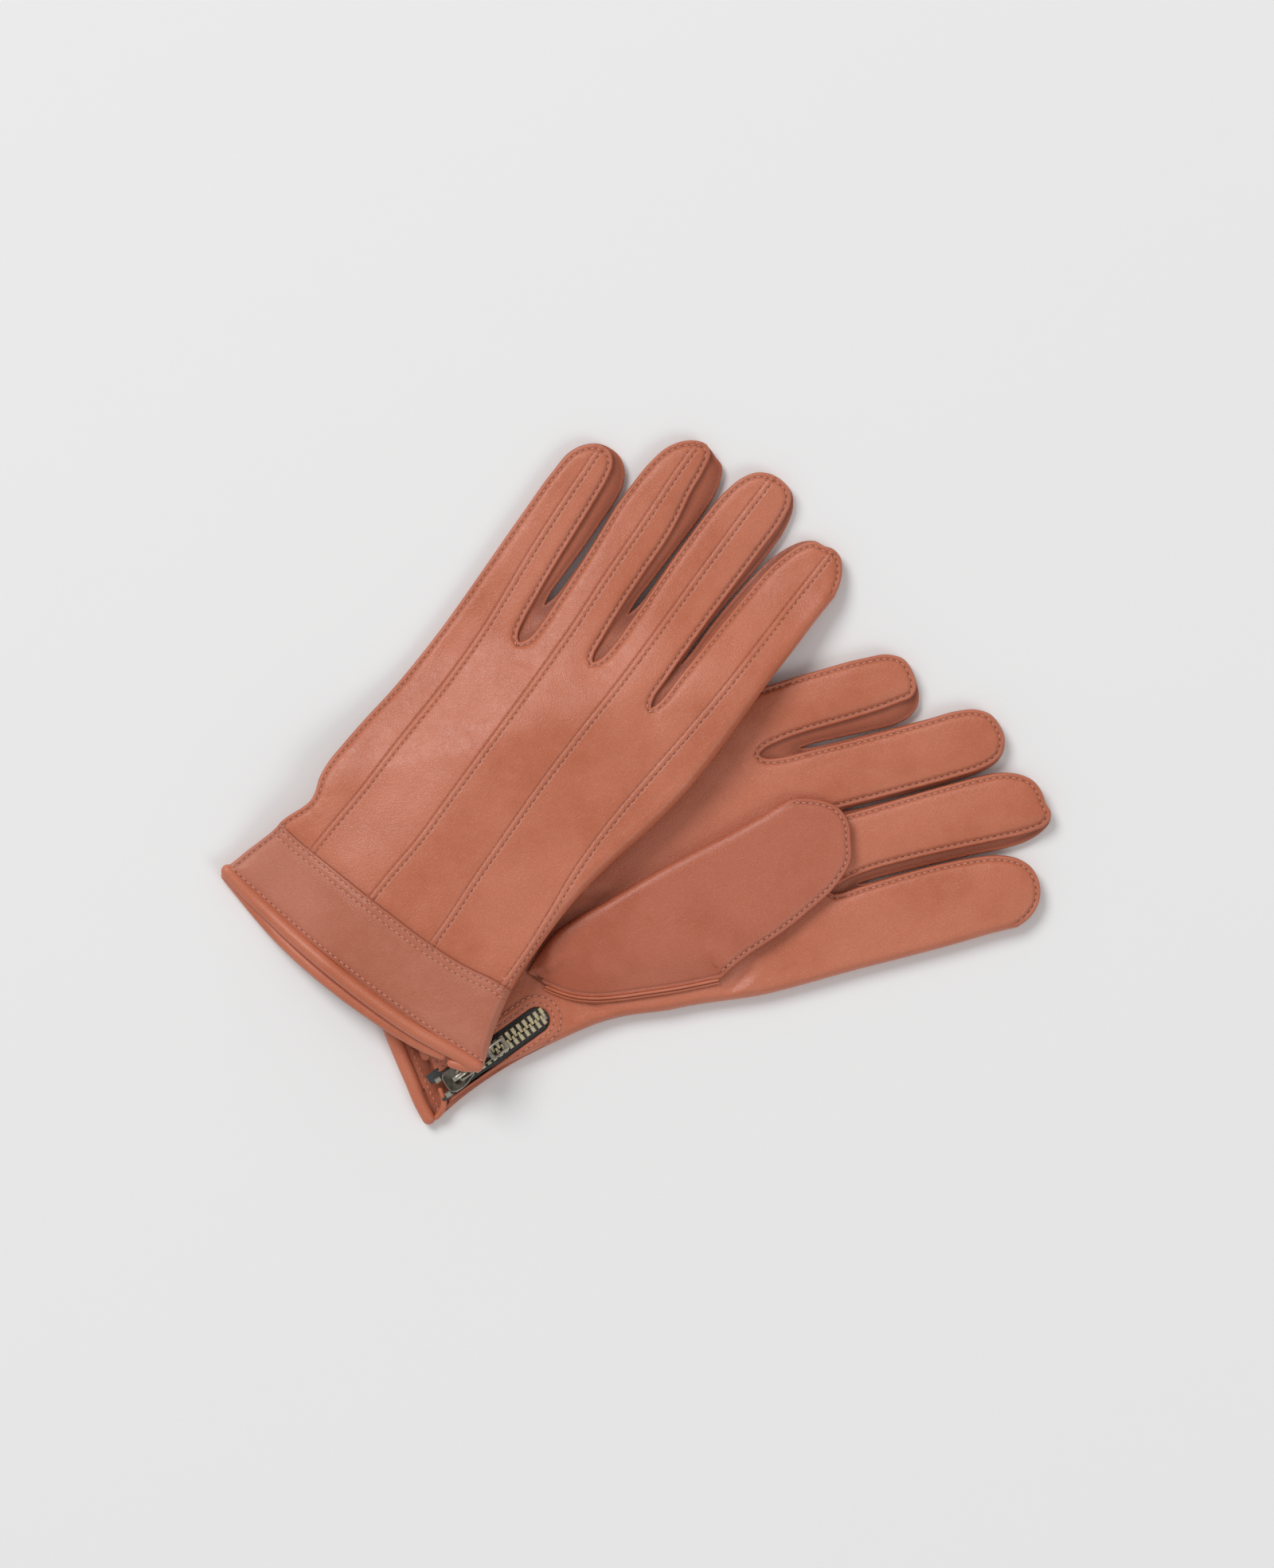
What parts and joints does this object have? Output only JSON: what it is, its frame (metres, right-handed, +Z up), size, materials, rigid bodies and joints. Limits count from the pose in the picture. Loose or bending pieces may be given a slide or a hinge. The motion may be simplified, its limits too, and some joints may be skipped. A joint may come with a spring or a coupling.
{
  "type": "pair of leather gloves",
  "caption": "Pair of men's leather gloves laid flat and crossed, with pintucked backs, banded and piped cuffs and a short metal zip at each wrist.",
  "frame": {"origin": "centre of the pair's box, on the surface that it lies on", "axes": "+Z up from the surface, +X along the pair's longest extent towards the right glove's fingertips, +Y towards the left glove's fingertips"},
  "size_m": [0.3014, 0.2523, 0.0226],
  "materials": {
    "glove_leather": "semi-matte, fine grain",
    "edge_leather": "matte, in shade",
    "band_leather": "semi-matte, fine grain",
    "piping_leather": "satin, rolled",
    "facing_leather": "semi-matte, fine grain",
    "knit_lining": "fine knit",
    "zip_tape": "woven, matte",
    "zip_teeth": "bright",
    "zip_hardware": "antique nickel, satin"
  },
  "bodies": {
    "right_hand": {"right_hand_back": "glove_leather", "right_hand_palm": "glove_leather", "right_trank_fold": "glove_leather", "right_side_seam": "edge_leather", "right_hand_lining": "knit_lining", "right_cuff_band": "band_leather", "right_cuff_piping": "piping_leather", "right_finger_webs": "edge_leather", "right_zip_facing": "facing_leather", "right_zip_tape": "zip_tape", "right_zip_teeth": "zip_teeth", "right_zip_top_stops": "zip_hardware", "right_zip_bottom_stop": "zip_hardware"},
    "right_slider": {"right_zip_slider": "zip_hardware"},
    "right_pull": {"right_zip_pull": "zip_hardware"},
    "right_thumb": {"right_thumb": "glove_leather", "right_thumb_lining": "knit_lining", "right_thumb_gusset": "edge_leather"},
    "right_pinky": {"right_pinky": "glove_leather", "right_pinky_fourchette": "edge_leather", "right_pinky_lining": "knit_lining"},
    "right_ring": {"right_ring": "glove_leather", "right_ring_fourchettes": "edge_leather", "right_ring_lining": "knit_lining"},
    "right_middle": {"right_middle": "glove_leather", "right_middle_fourchettes": "edge_leather", "right_middle_lining": "knit_lining"},
    "right_index": {"right_index": "glove_leather", "right_index_fourchette": "edge_leather", "right_index_lining": "knit_lining"},
    "left_hand": {"left_hand_back": "glove_leather", "left_hand_palm": "glove_leather", "left_trank_fold": "glove_leather", "left_side_seam": "edge_leather", "left_hand_lining": "knit_lining", "left_cuff_band": "band_leather", "left_cuff_piping": "piping_leather", "left_finger_webs": "edge_leather", "left_zip_facing": "facing_leather", "left_zip_tape": "zip_tape", "left_zip_teeth": "zip_teeth", "left_zip_top_stops": "zip_hardware", "left_zip_bottom_stop": "zip_hardware"},
    "left_slider": {"left_zip_slider": "zip_hardware"},
    "left_pull": {"left_zip_pull": "zip_hardware"},
    "left_thumb": {"left_thumb": "glove_leather", "left_thumb_lining": "knit_lining", "left_thumb_gusset": "edge_leather"},
    "left_pinky": {"left_pinky": "glove_leather", "left_pinky_fourchette": "edge_leather", "left_pinky_lining": "knit_lining"},
    "left_ring": {"left_ring": "glove_leather", "left_ring_fourchettes": "edge_leather", "left_ring_lining": "knit_lining"},
    "left_middle": {"left_middle": "glove_leather", "left_middle_fourchettes": "edge_leather", "left_middle_lining": "knit_lining"},
    "left_index": {"left_index": "glove_leather", "left_index_fourchette": "edge_leather", "left_index_lining": "knit_lining"}
  },
  "joints": [
    {"name": "left_lift", "type": "slide", "parent": "right_hand", "child": "left_hand", "axis": [0, 0, 1], "range_m": [0, 0.1]},
    {"name": "right_pinky_fold", "type": "hinge", "parent": "right_hand", "child": "right_pinky", "pos_m": [0.0594, 0.02506, 0.008], "axis": [0.2368, -0.9715, 0], "range_deg": [0, 60]},
    {"name": "right_ring_fold", "type": "hinge", "parent": "right_hand", "child": "right_ring", "pos_m": [0.07333, 0.0017, 0.008], "axis": [0.2368, -0.9715, 0], "range_deg": [0, 60]},
    {"name": "right_middle_fold", "type": "hinge", "parent": "right_hand", "child": "right_middle", "pos_m": [0.08361, -0.02359, 0.008], "axis": [0.2368, -0.9715, 0], "range_deg": [0, 60]},
    {"name": "right_index_fold", "type": "hinge", "parent": "right_hand", "child": "right_index", "pos_m": [0.08556, -0.05273, 0.008], "axis": [0.2368, -0.9715, 0], "range_deg": [0, 60]},
    {"name": "left_pinky_fold", "type": "hinge", "parent": "left_hand", "child": "left_pinky", "pos_m": [-0.04109, 0.07722, 0.00966], "axis": [0.7883, -0.6071, 0.1004], "range_deg": [0, 60]},
    {"name": "left_ring_fold", "type": "hinge", "parent": "left_hand", "child": "left_ring", "pos_m": [-0.0155, 0.06635, 0.01312], "axis": [0.7852, -0.6047, 0.1332], "range_deg": [0, 60]},
    {"name": "left_middle_fold", "type": "hinge", "parent": "left_hand", "child": "left_middle", "pos_m": [0.00656, 0.05315, 0.01667], "axis": [0.7776, -0.5989, 0.1914], "range_deg": [0, 60]},
    {"name": "left_index_fold", "type": "hinge", "parent": "left_hand", "child": "left_index", "pos_m": [0.02946, 0.03173, 0.02199], "axis": [0.7907, -0.6089, 0.0637], "range_deg": [0, 60]},
    {"name": "right_thumb_fold", "type": "hinge", "parent": "right_hand", "child": "right_thumb", "pos_m": [0.01747, -0.07635, 0.00815], "axis": [0.9715, 0.2368, 0], "range_deg": [0, 80]},
    {"name": "right_zip_slide", "type": "slide", "parent": "right_hand", "child": "right_slider", "axis": [0.8121, 0.5835, 0], "range_m": [0, 0.025]},
    {"name": "right_pull_swing", "type": "hinge", "parent": "right_slider", "child": "right_pull", "pos_m": [-0.06341, -0.10664, 0.00975], "axis": [0.5835, -0.8121, 0], "range_deg": [0, 12]},
    {"name": "left_thumb_fold", "type": "hinge", "parent": "left_hand", "child": "left_thumb", "pos_m": [-0.01045, -0.02557, 0.01445], "axis": [-0.6101, -0.7923, 0], "range_deg": [0, 40]},
    {"name": "left_zip_slide", "type": "slide", "parent": "left_hand", "child": "left_slider", "axis": [0.4633, 0.8862, 0], "range_m": [0, 0.023]},
    {"name": "left_pull_swing", "type": "hinge", "parent": "left_slider", "child": "left_pull", "pos_m": [-0.061, -0.0919, 0.01285], "axis": [-0.8862, 0.4633, 0], "range_deg": [0, 60]}
  ],
  "couplings": [
    {"joint": "left_thumb_fold", "follows": "left_lift", "rad_per_m": 6.9811},
    {"joint": "left_pull_swing", "follows": "left_lift", "rad_per_m": 10.472}
  ]
}
